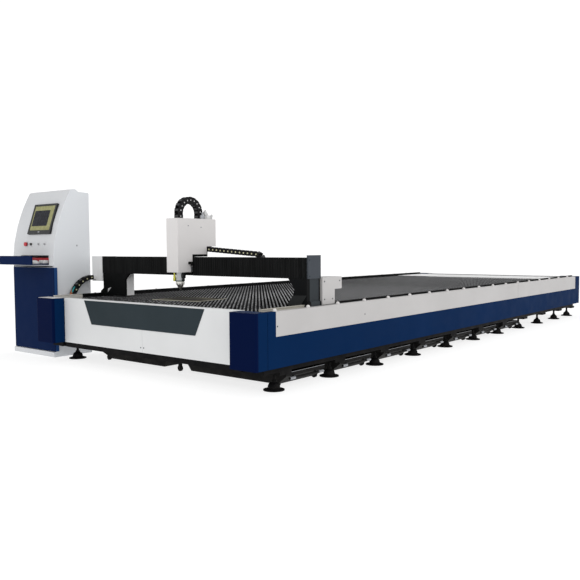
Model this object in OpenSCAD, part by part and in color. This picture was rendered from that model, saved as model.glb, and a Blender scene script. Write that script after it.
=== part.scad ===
// Gantry laser cutting machine with a long slat bed and an operator console.
// Z is up. X runs along the bed, away from the loading end. Y runs across it, towards the console.

/* [Bed] */
// Length between the two end panels
bed_l = 7895; // [7800:5:8000]
// Width over the two side skirts
bed_w = 3000; // [2600:10:3200]
// Height of the top edge of the side panels
top_z = 658; // [640:1:700]
// Height of the line between the white and the blue side panels
split_z = 460; // [400:5:520]
// Height of the lower edge of the panels
skirt_z = 210; // [205:1:240]
// Thickness of the sheet metal panels
panel_t = 4; // [3:0.5:6]
// Width of the flat rim along the top of the side panels
rim_w = 52; // [40:1:54]

/* [Corner posts] */
// Width of a corner post across the bed
post_w = 285; // [200:5:320]
// How far a corner post stands out from the end panel
post_out = 138; // [80:1:160]
// How far a corner post reaches along the side, behind the end panel
post_back = 97; // [80:1:110]
// Radius of the post corners
post_r = 14; // [4:1:30]

/* [Frame] */
// Distance between the levelling feet along the bed, all but the last
foot_pitch = 772; // [700:1:775]
// Place of the first levelling foot
foot_start = 237; // [220:1:260]
// Number of levelling feet on each side
foot_n = 11; // [9:1:11]
// Distance of the feet from the centre line
foot_y = 1356; // [1340:1:1360]
// Radius of the foot plate
foot_r = 88; // [70:1:90]

/* [Slats] */
// Distance between the bed slats
slat_pitch = 50; // [40:5:80]
// Thickness of a slat
slat_t = 4; // [3:0.5:6]
// Height of the slat tips
slat_top = 640; // [630:1:645]
// Height of a slat
slat_h = 100; // [80:5:120]

/* [Gantry] */
// Place of the front face of the gantry along the bed
gantry_x = 602; // [560:1:800]
// Height of the underside of the beam
beam_z0 = 890; // [870:5:950]
// Height of the top of the beam
beam_z1 = 1068; // [1060:1:1070]
// Depth of the gantry along the bed
gantry_d = 188; // [170:1:190]
// Half of the width over the gantry ends
gantry_hw = 1400; // [1390:1:1402]

/* [Carriage and head] */
// Place of the cutting head across the bed
head_y = 44; // [-40:1:120]
// Width of the head housing
hous_w = 160; // [140:1:180]
// Height of the top of the head housing
hous_top = 1440; // [1380:5:1480]
// Height of the nozzle tip
tip_z = 757; // [745:1:780]

/* [Scrap trolleys] */
// Width of a trolley along the bed
trolley_w = 540; // [480:5:550]
// Height of the rim of a trolley
trolley_top = 124; // [110:1:126]

/* [Console] */
// Width of the console
con_w = 800; // [700:10:860]
// Height of the console
con_h = 1800; // [1750:10:1850]
// Gap between the bed side and the console
con_gap = 90; // [85:1:200]
// Front of the console door along the bed
con_x = 112; // [110:1:200]
// How far the keyboard tray stands out of the cabinet
tray_out = 217; // [150:1:240]

/* [Hidden] */
$fn = 48;

half_w = bed_w / 2;
blue = "#0e2a52";
dark_blue = "#111b3c";
off_white = "#d6d6d4";
black = "#15171a";
steel = "#8a8d90";

// the side beams stand just inside the panels and carry the linear rails
beam_web_t = 70;
beam_in = half_w - 125;
beam_out = beam_in + beam_web_t;
beam_foot_w = 180;
beam_z = 160;
beam_foot_h = 60;
beam_top = 615;
end_gap = 8;
last_foot = bed_l - 55;
bracket_l = 150;
bracket_back = 30;
bracket_h = 30;
bar_w = 80;
bar_z0 = 230;
bar_h = 80;
end_bar_z = 162;
end_bar_h = 44;
support_t = 8;
support_y = 365;
slat_start = 60;
rear_cover_l = 900;
rear_cover_z = 645;
slat_n = floor((bed_l - slat_start - rear_cover_l - 10) / slat_pitch) + 1;
slat_hw = beam_in - 5;
rail_w = 30;
rail_h = 60;
rail_y = half_w - 90;
flange_h = 30;
post_wing = 50;
cap_pitch = 432;
cap_start = 120;
cap_n = floor((bed_l - 2 * cap_start) / cap_pitch) + 1;
cap_r = 17;
cap_y = half_w - 32;

// the dark plate on the front is wider at the top
plate_top = 840;
plate_low = 727;
plate_z0 = 418;
plate_mid = 33;
front_mid = 3;

chain_h = 50;
chain_w = 58;
chain_gap = 3;
x_chain_y = half_w + 7 + chain_gap;
x_chain_z = 576;
x_chain_ro = 290;
x_chain_cut = 55;
x_chain_gap = 33;
trough_t = 3;
trough_z = 280;
trough_top = 640;
trough_x = 162;
trough_end = 7320;
y_chain_x = gantry_x + gantry_d + 10;
y_chain_z = 1017;
y_chain_h = 48;
y_chain_top = 1167;
y_chain_ro = 105;
y_chain_y = -650;
y_chain_cut = 31;
y_trough_z = 930;
y_trough_y = 300;

// a trolley has one hopper on each side of the middle
hopper_out = -1390;
hopper_right = -200;
hopper_left = 75;
hopper_z = 22;
hopper_t = 5;
pull_z = 76;

head_x = gantry_x - 94;
hous_x0 = gantry_x - 191;
hous_x1 = gantry_x + 318;
hous_low = 925;
hous_mid = beam_z1 + 27;
hous_rear_low = 1172;
saddle_z = beam_z1 + 4;
hous_r = 5;
hous_y0 = head_y - hous_w / 2;
well_x = 136;
well_y = 130;
well_top = 1320;
bellows_t = 14;
beam_x = gantry_x + 38;
beam_rail_h = 20;
beam_rail_z = [925, 1025];
leg_plate_t = 24;
leg_in = 1010;
leg_box_y1 = 1104;
leg_out = gantry_hw - 16;
leg_foot = half_w - rim_w - 8;
end_plate_t = 8;
fit = 0.3;

con_y = half_w + con_gap;
con_back = con_x + 468;
con_y1 = con_y + con_w;
con_wall = 20;
door_t = 20;
door_fold = 44;
door_fold_t = 14;
door_y0 = con_y - 18;
door_y1 = con_y1 - 22;
door_z0 = 62;
door_z1 = 955;
pin_r = 5;
pin_out = 5;
slot_y0 = con_y + 92;
slot_y1 = slot_y0 + 550;
slot_z0 = 983;
slot_z1 = 1086;
tray_z = 988;
tray_x = con_x - tray_out;
tray_side = 8;
lip_side = 44;
button_z = 1208;
// front outline of the console from the slot up to the roof, as depth behind the door and height
con_front = [[16, 1086], [20, 1120], [30, 1222], [52, 1315], [76, 1416], [116, 1530],
    [156, 1632], [190, 1702], [236, 1790], [270, 1800]];
mon_w = 440;
mon_h = 342;
mon_t = 34;
mon_tilt = 18.2;
mon_y = con_y + 310;
mon_z = 1476;
mon_x = con_x + 105;

// the part's origin is on the floor, under the middle of the whole outline
min_x = -post_out;
max_x = bed_l + post_out;
origin_x = (min_x + max_x) / 2;
origin_y = (con_y1 - half_w) / 2;

// place of levelling foot number i, where the last one stands closer to the end
function foot_x(i) = min(foot_start + i * foot_pitch, last_foot);

// moves the machine so that the origin lies under its middle
module place() {
    translate([-origin_x, -origin_y, 0]) children();
}

// keeps a piece on the right side, or mirrors it to the left when s is 1
module side(s) {
    if (s > 0) mirror([0, 1, 0]) children();
    if (s < 0) children();
}

// a plate outline given as [y, z] points, pushed along X from x0 for a length
module along_x(x0, l) {
    translate([x0, 0, 0]) rotate([90, 0, 90]) linear_extrude(l) children();
}

// a plate outline given as [x, z] points, pushed along +Y from y0 for a length
module along_y(y0, l) {
    translate([0, y0 + l, 0]) rotate([90, 0, 0]) linear_extrude(l) children();
}

// a block between two corners
module block(a, b) {
    translate(a) cube(b - a);
}

// a rectangle with round corners
module round_rect(w, d, r) {
    translate([r, 0]) square([w - 2 * r, d]);
    translate([0, r]) square([w, d - 2 * r]);
    for (x = [r, w - r], y = [r, d - r]) translate([x, y]) circle(r);
}

// the welded side beam, drawn for the right side
module frame_beam() {
    foot_in = half_w - 54 - beam_foot_w;
    along_x(end_gap, bed_l - 2 * end_gap)
        polygon([[-half_w + 54, beam_z], [-foot_in, beam_z], [-foot_in, beam_z + beam_foot_h],
            [-beam_in, beam_z + beam_foot_h], [-beam_in, beam_top], [-beam_out, beam_top],
            [-beam_out, beam_z + beam_foot_h], [-half_w + 54, beam_z + beam_foot_h]]);
    for (i = [0 : foot_n - 1])
        translate([foot_x(i), 0, 0])
            block([-bracket_back, -half_w + 54, beam_z - bracket_h],
                [bracket_l - bracket_back, -half_w + 190, beam_z]);
}

module frame_beam_left() { color(black) place() side(1) frame_beam(); }
module frame_beam_right() { color(black) place() side(-1) frame_beam(); }

// the bars that join the two side beams, and the low bar under each end panel
module frame_crossbars() {
    color(black) place() {
        for (i = [0 : foot_n - 1])
            translate([foot_x(i) - bar_w / 2, -beam_in, bar_z0])
                cube([bar_w, 2 * beam_in, bar_h]);
        for (x = [end_gap, bed_l - end_gap - bar_w])
            translate([x, -half_w + post_w + 4, end_bar_z])
                cube([bar_w, bed_w - 2 * post_w - 8, end_bar_h]);
    }
}

// one levelling foot: floor plate, domed hub and threaded stem
module foot() {
    rotate_extrude()
        polygon([[0, 0], [foot_r, 0], [foot_r, 9], [foot_r - 24, 16], [52, 22], [50, 38],
            [42, 54], [30, 64], [22, 68], [22, 82], [14, 82],
            [14, beam_z - bracket_h], [0, beam_z - bracket_h]]);
}

module feet(s) {
    for (i = [0 : foot_n - 1])
        translate([foot_x(i), s * foot_y, 0]) foot();
}

module leveling_feet_left() { color(black) place() feet(1); }
module leveling_feet_right() { color(black) place() feet(-1); }

// upright plates on the crossbars that the slats stand on
module slat_supports() {
    color(black) place()
        for (k = [-3, -1, 1, 3])
            block([20, k * support_y - support_t / 2, bar_z0 + bar_h],
                [bed_l - 20, k * support_y + support_t / 2, slat_top - slat_h]);
}

module slats() {
    color(steel) place()
        for (i = [0 : slat_n - 1])
            translate([slat_start + i * slat_pitch, -slat_hw, slat_top - slat_h])
                cube([slat_t, 2 * slat_hw, slat_h]);
}

// a linear rail with hollowed flanks
module rail() {
    half = rail_w / 2;
    waist = half - 5;
    side = [[half, 0], [half, rail_h - 18], [waist, rail_h - 14], [waist, rail_h - 9],
        [half, rail_h - 6], [half, rail_h]];
    along_x(end_gap + 2, bed_l - 2 * end_gap - 4)
        translate([-rail_y, beam_top])
            polygon(concat(side, [for (i = [len(side) - 1 : -1 : 0]) [-side[i][0], side[i][1]]]));
}

module rail_left() { color(steel) place() side(1) rail(); }
module rail_right() { color(steel) place() side(-1) rail(); }

// the white panel with its flat rim on top
module side_upper() {
    along_x(post_back, bed_l - 2 * post_back)
        polygon([[-half_w, split_z], [-half_w + panel_t, split_z],
            [-half_w + panel_t, top_z - panel_t], [-half_w + rim_w, top_z - panel_t],
            [-half_w + rim_w, top_z], [-half_w, top_z]]);
}

// the blue skirt with its flange turned in at the bottom
module side_lower() {
    along_x(post_back, bed_l - 2 * post_back)
        polygon([[-half_w, skirt_z], [-half_w + flange_h, skirt_z],
            [-half_w + flange_h, skirt_z + panel_t], [-half_w + panel_t, skirt_z + panel_t],
            [-half_w + panel_t, split_z], [-half_w, split_z]]);
}

module side_upper_left() { color(off_white) place() side(1) side_upper(); }
module side_upper_right() { color(off_white) place() side(-1) side_upper(); }
module side_lower_left() { color(blue) place() side(1) side_lower(); }
module side_lower_right() { color(blue) place() side(-1) side_lower(); }

// a blue corner post with round corners and a wing along the side, drawn for the front right
module post() {
    translate([0, 0, skirt_z])
        linear_extrude(top_z - skirt_z) {
            translate([-post_out, -half_w]) round_rect(post_out + panel_t, post_w, post_r);
            translate([0, -half_w]) square([post_back, post_wing]);
        }
}

// turns a front corner piece round to the rear end
module rear() {
    translate([bed_l, 0, 0]) mirror([1, 0, 0]) children();
}

module post_front_left() { color(dark_blue) place() side(1) post(); }
module post_front_right() { color(dark_blue) place() side(-1) post(); }
module post_rear_left() { color(dark_blue) place() rear() side(1) post(); }
module post_rear_right() { color(dark_blue) place() rear() side(-1) post(); }

// an end panel with its rim, given its two sides across the bed
module end_panel(y0, y1) {
    block([0, y0, skirt_z], [panel_t, y1, top_z]);
    block([panel_t, y0, top_z - panel_t], [rim_w, y1, top_z]);
}

module front_panel_left() {
    color(off_white) place() end_panel(front_mid + 1, half_w - post_w - 1);
}

module front_panel_right() {
    color(off_white) place() end_panel(-half_w + post_w + 1, front_mid - 1);
}

// the rear panel carries a cover sheet over the part of the bed that the head doesn't reach
module rear_panel() {
    color(off_white) place()
        rear() {
            end_panel(-half_w + post_w + 1, half_w - post_w - 1);
            block([panel_t, -slat_hw, rear_cover_z - panel_t],
                [rear_cover_l, slat_hw, rear_cover_z]);
        }
}

// the bare dark plate on the front, wider at the top
module front_plate() {
    color("#2f3a42") place()
        along_x(-panel_t, panel_t)
            translate([plate_mid, 0])
                polygon([[-plate_low, plate_z0], [plate_low, plate_z0],
                    [plate_top, top_z - 10], [-plate_top, top_z - 10]]);
}

// small domed caps along the rim
module edge_caps(s) {
    for (i = [0 : cap_n - 1])
        translate([cap_start + i * cap_pitch, s * cap_y, top_z])
            rotate_extrude()
                polygon([[0, 0], [cap_r, 0], [cap_r, 8], [cap_r - 4, 15], [8, 20], [0, 21]]);
}

module edge_caps_left() { color("white") place() edge_caps(1); }
module edge_caps_right() { color("white") place() edge_caps(-1); }

// the open channel beside the left side panel that the long cable chain lies in
module x_chain_trough() {
    y0 = half_w;
    y1 = x_chain_y + chain_w + chain_gap + trough_t;
    color(off_white) place()
        along_x(trough_x, trough_end - trough_x)
            polygon([[y0, trough_z], [y1, trough_z], [y1, trough_top],
                [y1 - trough_t, trough_top], [y1 - trough_t, trough_z + trough_t],
                [y0 + trough_t, trough_z + trough_t], [y0 + trough_t, trough_top],
                [y0, trough_top]]);
}

// the outline of the console from the side, with a round front
module console_outline() {
    polygon(concat([[con_back, 0], [con_back, con_h - 40], [con_back - 10, con_h - 30],
        [con_x + 336, con_h - 28], [con_x + 300, con_h]],
        [for (i = [len(con_front) - 1 : -1 : 0]) [con_x + con_front[i][0], con_front[i][1]]],
        [[con_x + 16, slot_z0], [con_x + door_t + 2, slot_z0 - 14], [con_x + door_t + 2, 56],
            [con_x - 4, 52], [con_x - 4, 0]]));
}

// the monitor block, leaning back with the console front
module monitor_block(grow) {
    translate([mon_x, mon_y, mon_z]) rotate([0, mon_tilt, 0])
        translate([-mon_t / 2 - 6, -mon_w / 2 - grow, -mon_h / 2 - grow])
            cube([mon_t + grow, mon_w + 2 * grow, mon_h + 2 * grow]);
}

// places a piece at a button, pointing out of the console front
module at_button(y) {
    translate([con_x + 28, con_y + y, button_z]) rotate([0, -90, 0]) children();
}

estop_y = 535;
start_y = 439;
reset_y = 294;
light_y = 177;

module console_cabinet() {
    color("#cfd1d4") place()
        difference() {
            along_y(con_y, con_w) console_outline();
            block([con_x + door_t + 1, con_y + con_wall, 76],
                [con_back - con_wall, con_y1 - con_wall, slot_z0 - con_wall - 12]);
            block([con_x - 1, slot_y0, slot_z0], [con_back - con_wall, slot_y1, slot_z1]);
            monitor_block(1);
            for (y = [estop_y, start_y]) at_button(y) translate([0, 0, -30])
                cylinder(r = 11 + fit, h = 60);
            for (y = [reset_y, light_y]) at_button(y) translate([0, 0, -30])
                cylinder(r = 8 + fit, h = 60);
        }
}

// the blue cabinet door: its right edge is folded back over the side of the cabinet, and it turns
// on a pin at each end of its left edge
module console_door() {
    color("#1b2c5c") place() {
        translate([0, 0, door_z0]) linear_extrude(door_z1 - door_z0)
            polygon([[con_x, door_y0], [con_x + door_fold, door_y0],
                [con_x + door_fold, door_y0 + door_fold_t],
                [con_x + door_t, door_y0 + door_fold_t],
                [con_x + door_t, door_y1], [con_x, door_y1]]);
        for (z = [door_z0 - pin_out, door_z1])
            translate([con_x + door_t / 2, door_y1 - 6, z]) cylinder(r = pin_r, h = pin_out);
    }
}

module monitor() {
    color("#1a1b1d") place()
        difference() {
            monitor_block(0);
            translate([mon_x, mon_y, mon_z]) rotate([0, mon_tilt, 0])
                translate([-mon_t / 2 - 7, -mon_w / 2 + 28, -mon_h / 2 + 40])
                    cube([4, mon_w - 56, mon_h - 62]);
        }
}

// the pulled-out tray: a floor that fits the slot and a wider, tall front lip
module keyboard_tray() {
    color("#14306a") place() {
        block([tray_x + 18, slot_y0 + tray_side, tray_z],
            [tray_x + 400, slot_y1 - tray_side, tray_z + 12]);
        block([tray_x, slot_y0 - lip_side, tray_z],
            [tray_x + 18, slot_y1 + lip_side, slot_z1 - 4]);
    }
}

module keyboard() {
    color("#d8d2bf") place()
        along_y(slot_y0 + 128, 400)
            translate([tray_x + 40, tray_z + 14])
                polygon([[0, 0], [150, 0], [150, 24], [138, 28], [8, 14], [0, 10]]);
}

// a round push button: cap outside, shank inside the cabinet wall
module push(y, cap_rad, cap_h, shank, lift, tint) {
    color(tint) place()
        at_button(y) {
            translate([0, 0, -20]) cylinder(r = shank, h = 20 + lift);
            translate([0, 0, lift]) cylinder(r = cap_rad, h = cap_h);
        }
}

module emergency_stop() { push(estop_y, 22, 18, 11, 8, "#b01818"); }
module start_button() { push(start_y, 15, 9, 11, 7, "#1f6f3c"); }
module reset_button() { push(reset_y, 10, 7, 8, 6.5, "#6c7075"); }
module light_button() { push(light_y, 10, 7, 8, 6.5, "#6c7075"); }

// the box beam with the plate that closes its right end
module gantry_beam() {
    color(black) place() {
        block([beam_x, -gantry_hw, beam_z0], [gantry_x + gantry_d, gantry_hw, beam_z1]);
        block([gantry_x, -gantry_hw - end_plate_t, beam_z0],
            [gantry_x + gantry_d, -gantry_hw, beam_z1]);
    }
}

// two rails along the front of the beam for the carriage
module beam_rails() {
    color(steel) place()
        for (z = beam_rail_z)
            block([beam_x - 20, -gantry_hw + 10, z], [beam_x, gantry_hw - 10, z + beam_rail_h]);
}

// the runner under a leg: a block with a groove over the linear rail
module runner_cut() {
    w = rail_w + 2 * fit;
    block([gantry_x - 1, -rail_y - w / 2, beam_top - 1],
        [gantry_x + gantry_d + 1, -rail_y + w / 2, beam_top + rail_h + fit]);
}

// the right leg: narrow, with a foot over the rail and a slanted shoulder
module gantry_leg_right() {
    e = gantry_hw + 17;
    color(black) place()
        difference() {
            along_x(gantry_x, gantry_d)
                polygon([[-e, beam_z0], [-e, 700], [-1431, 692], [-1431, 620],
                    [-rail_y + 32, 620], [-rail_y + 32, 652], [-1204, 652], [-1272, 750],
                    [-1282, 806], [-1216, beam_z0]]);
            runner_cut();
        }
}

// the left leg: a broad front plate with a shoulder, and the thick leg behind its outer half
module gantry_leg_left() {
    outer = [[leg_out, beam_z0], [leg_out, 726], [1432, 694], [leg_foot, 668],
        [leg_foot, 620], [rail_y - 32, 620], [rail_y - 32, 652]];
    color(black) place()
        difference() {
            union() {
                along_x(gantry_x, leg_plate_t)
                    polygon(concat(outer, [[leg_in, 652], [leg_in, 826], [942, beam_z0]]));
                along_x(gantry_x + leg_plate_t, gantry_d - leg_plate_t)
                    polygon(concat(outer, [[leg_box_y1, 652], [leg_box_y1, beam_z0]]));
            }
            side(1) runner_cut();
        }
}

// the grey cover plate on the right end of the beam
module gantry_cover_right() {
    color("#54585b") place()
        block([gantry_x + 12, -gantry_hw - 24, beam_z0],
            [gantry_x + gantry_d + 3, -gantry_hw - end_plate_t, beam_z1 + 22]);
}

// the white box on the left end of the beam, which holds the end of the long chain
module gantry_cover_left() {
    color(off_white) place() {
        block([gantry_x, gantry_hw, 800],
            [gantry_x + gantry_d, con_y - 6, beam_z1 + 4]);
        block([gantry_x - x_chain_gap + 1, x_chain_y + 4, x_chain_z + x_chain_ro - chain_h + 6],
            [gantry_x, x_chain_y + chain_w - 4, x_chain_z + x_chain_ro - 6]);
    }
}

// the white box over the left drive, behind the inner half of the leg's front plate
module drive_cover_left() {
    color(off_white) place()
        block([gantry_x + leg_plate_t + 1, leg_in, 656],
            [gantry_x + leg_plate_t + 96, leg_box_y1 - 1, beam_z0 - 8]);
}

// the stepped white cover over the right drive, with a groove over the linear rail
module drive_cover_right() {
    x0 = gantry_x + gantry_d + 4;
    z0 = top_z + 3;
    z1 = beam_z0 + 7;
    w = rail_w + 2 * fit;
    color(off_white) place()
        difference() {
            along_y(-leg_foot, 150)
                polygon([[x0, z0], [x0 + 184, z0], [x0 + 184, 790], [x0 + 292, 790],
                    [x0 + 292, z1], [x0, z1]]);
            block([x0 - 1, -rail_y - w / 2, z0 - 1],
                [x0 + 185, -rail_y + w / 2, beam_top + rail_h + fit]);
        }
}

// a folding cover in front of the beam, between y0 and y1
module bellows(y0, y1) {
    block([gantry_x, y0, beam_z0], [gantry_x + bellows_t, y1, beam_z1 + 2]);
}

module bellows_left() {
    color(black) place() bellows(head_y + hous_w / 2 + 2, gantry_hw - 2);
}

module bellows_right() {
    color(black) place() bellows(-gantry_hw + 2, head_y - hous_w / 2 - 2);
}

// a curved length of flat chain: a ring sector standing upright, from angle a0 to a1
module chain_arc(ro, h, a0, a1, w) {
    translate([0, w / 2, 0]) rotate([90, 0, 0]) rotate([0, 0, a0])
        linear_extrude(w) difference() {
            intersection() {
                circle(ro, $fn = 96);
                polygon(concat([[0, 0]],
                    [for (i = [0 : 6]) 2 * ro * [cos((a1 - a0) * i / 6), sin((a1 - a0) * i / 6)]]));
            }
            circle(ro - h, $fn = 96);
        }
}

// the bend of the long chain in front of the left leg
module x_chain_loop() {
    color(black) place()
        translate([gantry_x - x_chain_gap, x_chain_y + chain_w / 2, x_chain_z])
            chain_arc(x_chain_ro, chain_h, 90, 180 + x_chain_cut, chain_w);
}

// the open channel on the back of the beam that the cross chain lies in
module y_chain_trough() {
    x0 = gantry_x + gantry_d;
    x1 = y_chain_x + chain_w + 8;
    color(black) place()
        translate([0, -gantry_hw + 60, 0]) rotate([90, 0, 0]) mirror([0, 0, 1])
            linear_extrude(gantry_hw - 60 + y_trough_y)
                polygon([[x0, y_trough_z], [x1, y_trough_z], [x1, beam_z1 - 4],
                    [x1 - 3, beam_z1 - 4], [x1 - 3, y_trough_z + 3], [x0 + 3, y_trough_z + 3],
                    [x0 + 3, beam_z1 - 4], [x0, beam_z1 - 4]]);
}

// the straight upper run of the cross chain, which falls a little towards the bend
module y_chain_run() {
    low = y_chain_z + y_chain_ro;
    color(black) place()
        along_x(y_chain_x, chain_w)
            polygon([[y_chain_y + 1, low - y_chain_h], [hous_y0, y_chain_top - y_chain_h],
                [hous_y0, y_chain_top], [y_chain_y + 1, low]]);
}

// the bend of the cross chain
module y_chain_bend() {
    color(black) place()
        translate([y_chain_x + chain_w / 2, y_chain_y, y_chain_z]) rotate([0, 0, 90])
            chain_arc(y_chain_ro, y_chain_h, 90, 180 + y_chain_cut, chain_w);
}

// the plate that carries the head housing, with two grooved runners on the beam rails, a saddle
// over the beam, and behind it an arm that holds the end of the cross chain
module carriage_plate() {
    y0 = hous_y0 + 6;
    y1 = hous_y0 + hous_w - 6;
    arm_x = gantry_x + gantry_d;
    color(black) place()
        difference() {
            union() {
                block([gantry_x - 5, y0, beam_z0 + 16], [beam_x - 2, y1, hous_mid]);
                block([gantry_x - 5, y0, saddle_z], [arm_x + 10, y1, hous_mid]);
                block([arm_x, hous_y0, saddle_z], [arm_x + 10, hous_y0 + 60, hous_rear_low]);
                block([arm_x, hous_y0, y_chain_top - y_chain_h],
                    [y_chain_x + chain_w, hous_y0 + 60, hous_rear_low]);
            }
            for (z = beam_rail_z)
                block([beam_x - 20 - fit, -1400, z - fit], [beam_x, 1400, z + beam_rail_h + fit]);
        }
}

// the white housing: a tall box over the beam with a lower nose in front of it
module head_housing() {
    color(off_white) place()
        difference() {
            translate([hous_x0, hous_y0, hous_low]) linear_extrude(hous_top - hous_low)
                round_rect(hous_x1 - hous_x0, hous_w, hous_r);
            block([gantry_x - 5, hous_y0 - 1, hous_low - 1],
                [hous_x1 + 1, hous_y0 + hous_w + 1, hous_mid]);
            block([gantry_x + gantry_d, hous_y0 - 1, hous_low - 1],
                [hous_x1 + 1, hous_y0 + hous_w + 1, hous_rear_low]);
            block([head_x - well_x / 2, head_y - well_y / 2, hous_low - 1],
                [head_x + well_x / 2, head_y + well_y / 2, well_top]);
        }
}

// the small arch of chain on top of the housing
module z_chain() {
    ro = 162;
    h = 66;
    w = 58;
    rise = 50;
    color(black) place()
        translate([head_x + 122, head_y, hous_top + rise]) {
            chain_arc(ro, h, 0, 180, w);
            for (x = [-ro, ro - h])
                translate([x, -w / 2, -rise]) cube([h, w, rise]);
        }
}

// the cutting head: a slide column in the housing with a round body below it
module cutting_head() {
    color("#a9adb0") place()
        translate([head_x, head_y, 0]) {
            translate([-well_x / 2 + 2, -well_y / 2 + 2, 972])
                cube([well_x - 4, well_y - 4, 180]);
            translate([0, 0, 878]) cylinder(r = 36, h = 94);
            translate([0, 0, 846]) cylinder(r = 41, h = 32);
            translate([0, 0, 836]) cylinder(r = 34, h = 10);
        }
}

// the brass-coloured gas fitting on the side of the head
module head_fitting() {
    color("#b7a64a") place()
        translate([head_x - 30, head_y + 46, 0]) {
            translate([0, 0, 838]) cylinder(r = 11, h = 56);
            translate([0, 0, 894]) cylinder(r = 7, h = 27);
        }
}

module nozzle() {
    color("#c4c7c9") place()
        translate([head_x, head_y, tip_z])
            difference() {
                rotate_extrude()
                    polygon([[0, 0], [8, 0], [15, 20], [22, 22], [38, 54], [40, 60], [40, 79],
                        [0, 79]]);
                translate([0, 0, -1]) cylinder(r = 1.5, h = 30);
            }
}

// one hopper of a trolley between y0 and y1, drawn in by a wall: an upright rim, and ends that
// slant in by s0 and s1 on their way down
module hopper(y0, y1, s0, s1, wall) {
    z0 = hopper_z + wall;
    knee = trolley_top - 28;
    lift = wall > 0 ? 20 : 0;
    along_x(-trolley_w / 2 + wall, trolley_w - 2 * wall)
        polygon([[y0 + s0 + wall, z0], [y1 - s1 - wall, z0], [y1 - wall, knee],
            [y1 - wall, trolley_top + lift], [y0 + wall, trolley_top + lift],
            [y0 + wall, knee]]);
}

module hoppers(wall) {
    hopper(hopper_out, hopper_right, 90, 60, wall);
    hopper(hopper_left, 1130, 35, 200, wall);
}

// a low scrap trolley with two hoppers, a pull bar and small wheels
module trolley(i) {
    color(black) place()
        translate([(foot_x(i) + foot_x(i + 1)) / 2, 0, 0]) {
            difference() {
                hoppers(0);
                hoppers(hopper_t);
            }
            for (x = [-trolley_w / 2, trolley_w / 2 - 30])
                block([x, hopper_right - 2, trolley_top - 30], [x + 30, hopper_left + 2,
                    trolley_top]);
            for (x = [-150, 150])
                translate([x - 10, hopper_out - 10, pull_z - 6]) cube([20, 55, 12]);
            translate([-235, hopper_out - 10, pull_z]) rotate([0, 90, 0])
                cylinder(r = 11, h = 470);
            for (x = [-trolley_w / 2 + 15, trolley_w / 2 - 15]) {
                translate([x, hopper_out + 105, 0]) caster(62);
                translate([x, -95, 0]) caster(94);
                translate([x, 988, 0]) caster(62);
            }
        }
}

// a small wheel in a fork that reaches up to height h
module caster(h) {
    translate([-9, 0, 29]) rotate([0, 90, 0]) cylinder(r = 29, h = 18);
    translate([-13, -14, 20]) cube([4, 28, h - 20]);
    translate([9, -14, 20]) cube([4, 28, h - 20]);
    translate([-13, -14, h - 3]) cube([26, 28, 6]);
}

module scrap_trolley_1() { trolley(0); }
module scrap_trolley_2() { trolley(1); }
module scrap_trolley_3() { trolley(2); }
module scrap_trolley_4() { trolley(3); }
module scrap_trolley_5() { trolley(4); }
module scrap_trolley_6() { trolley(5); }
module scrap_trolley_7() { trolley(6); }

frame_beam_left();
frame_beam_right();
frame_crossbars();
leveling_feet_left();
leveling_feet_right();
slat_supports();
slats();
rail_left();
rail_right();
side_upper_left();
side_upper_right();
side_lower_left();
side_lower_right();
post_front_left();
post_front_right();
post_rear_left();
post_rear_right();
front_panel_left();
front_panel_right();
rear_panel();
front_plate();
edge_caps_left();
edge_caps_right();
x_chain_trough();
console_cabinet();
console_door();
monitor();
keyboard_tray();
keyboard();
emergency_stop();
start_button();
reset_button();
light_button();
gantry_beam();
gantry_leg_left();
gantry_leg_right();
gantry_cover_left();
gantry_cover_right();
drive_cover_left();
drive_cover_right();
beam_rails();
bellows_left();
bellows_right();
x_chain_loop();
y_chain_trough();
y_chain_run();
y_chain_bend();
carriage_plate();
head_housing();
z_chain();
cutting_head();
head_fitting();
nozzle();
scrap_trolley_1();
scrap_trolley_2();
scrap_trolley_3();
scrap_trolley_4();
scrap_trolley_5();
scrap_trolley_6();
scrap_trolley_7();
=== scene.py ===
# %% [markdown]
# # A gantry laser cutting machine
# The machine is a long slat bed with a bridge that rolls along it and an operator console beside
# it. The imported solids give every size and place. The cells below dress them: they add what is too
# fine for the solids, such as saw-tooth slats, folded bellows and chain links, and give each piece
# a finish.

# %% Load the solids
import math

import bmesh
import bpy
from mathutils import Matrix, Vector


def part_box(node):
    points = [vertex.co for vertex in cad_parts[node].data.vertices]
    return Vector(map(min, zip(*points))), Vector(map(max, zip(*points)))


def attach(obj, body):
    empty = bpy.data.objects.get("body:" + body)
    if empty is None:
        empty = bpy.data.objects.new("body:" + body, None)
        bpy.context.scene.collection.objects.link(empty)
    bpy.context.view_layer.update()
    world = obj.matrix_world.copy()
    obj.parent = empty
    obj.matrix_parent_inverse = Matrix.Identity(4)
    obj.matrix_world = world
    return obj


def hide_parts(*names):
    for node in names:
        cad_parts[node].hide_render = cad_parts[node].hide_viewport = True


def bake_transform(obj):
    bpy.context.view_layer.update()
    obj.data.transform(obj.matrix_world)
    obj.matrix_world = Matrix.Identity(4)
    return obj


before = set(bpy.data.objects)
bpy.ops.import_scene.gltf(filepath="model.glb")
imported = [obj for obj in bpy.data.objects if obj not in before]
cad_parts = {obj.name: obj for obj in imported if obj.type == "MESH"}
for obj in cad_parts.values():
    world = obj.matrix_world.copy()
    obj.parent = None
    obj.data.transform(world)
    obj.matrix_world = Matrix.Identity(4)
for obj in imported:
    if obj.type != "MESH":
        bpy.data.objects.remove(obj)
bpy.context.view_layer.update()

# %% [markdown]
# ## Small tools for making pieces
# Each new piece starts as an empty bmesh. A few helpers put blocks, rods and turned shapes into it
# with Blender's own operators, and one helper turns the bmesh into an object that rides on a body.

# %% Helpers that add simple shapes
ORIGIN_TO_BED = Vector((3.9475, 0.445, 0))


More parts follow.
